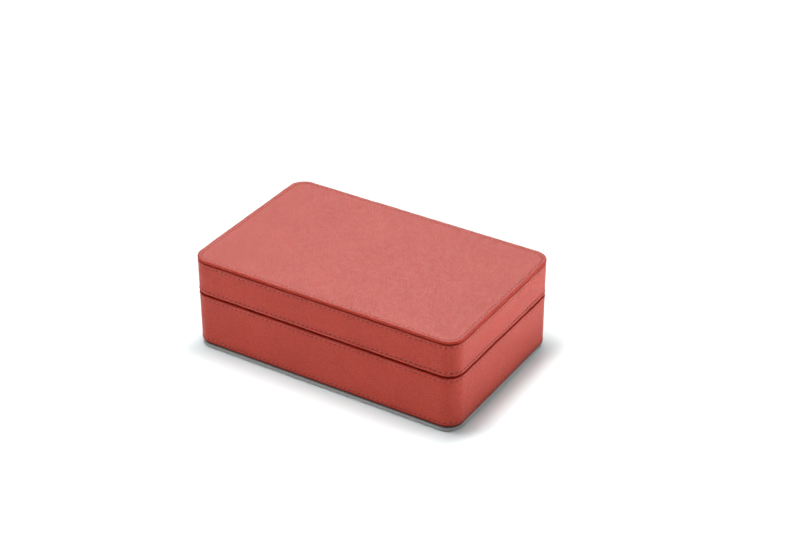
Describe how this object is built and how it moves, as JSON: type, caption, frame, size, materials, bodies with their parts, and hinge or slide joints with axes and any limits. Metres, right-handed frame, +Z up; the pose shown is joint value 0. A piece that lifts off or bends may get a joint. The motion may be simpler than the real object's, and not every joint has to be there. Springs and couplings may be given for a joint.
{
  "type": "playing card box",
  "caption": "Leather covered box for playing cards: a low rectangular base with card wells and a collar, and a lift-off lid with stitched panels.",
  "frame": {"origin": "centre of the box's outline on the surface it stands on", "axes": "+X along the long side, -Y towards the long front face, +Z up"},
  "size_m": [0.1802, 0.1132, 0.061],
  "materials": {
    "leather": "fine pebbled grain, satin",
    "painted_edge": "painted and burnished edge, satin",
    "thread": "waxed thread",
    "grey_suede": "brushed suede cloth, matt",
    "suede_lining": "brushed suede cloth, matt",
    "board": "plain fibreboard, unfinished"
  },
  "bodies": {
    "base": {"plinth_board": "board", "plinth_suede": "grey_suede", "base_bottom_board": "board", "base_front_board": "board", "base_back_board": "board", "base_left_board": "board", "base_right_board": "board", "base_band_leather": "leather", "base_band_backing": "painted_edge", "base_lower_thread": "thread", "base_upper_thread": "thread", "base_rim_leather": "leather", "collar_front_strip": "board", "collar_front_suede": "suede_lining", "collar_back_strip": "board", "collar_back_suede": "suede_lining", "collar_left_strip": "board", "collar_left_suede": "suede_lining", "collar_right_strip": "board", "collar_right_suede": "suede_lining", "base_floor_lining": "suede_lining", "divider_left_board": "board", "divider_left_suede": "suede_lining", "divider_right_board": "board", "divider_right_suede": "suede_lining"},
    "lid": {"lid_top_board": "board", "lid_front_board": "board", "lid_back_board": "board", "lid_left_board": "board", "lid_right_board": "board", "lid_band_leather": "leather", "lid_band_backing": "painted_edge", "lid_lower_thread": "thread", "lid_upper_thread": "thread", "lid_rim_leather": "leather", "lid_top_backing": "painted_edge", "lid_top_leather": "leather", "lid_top_thread": "thread", "lid_side_lining": "suede_lining", "lid_ceiling_lining": "suede_lining"}
  },
  "joints": [
    {"name": "lid_lift", "type": "slide", "parent": "base", "child": "lid", "axis": [0, 0, 1], "range_m": [0, 0.1]}
  ]
}
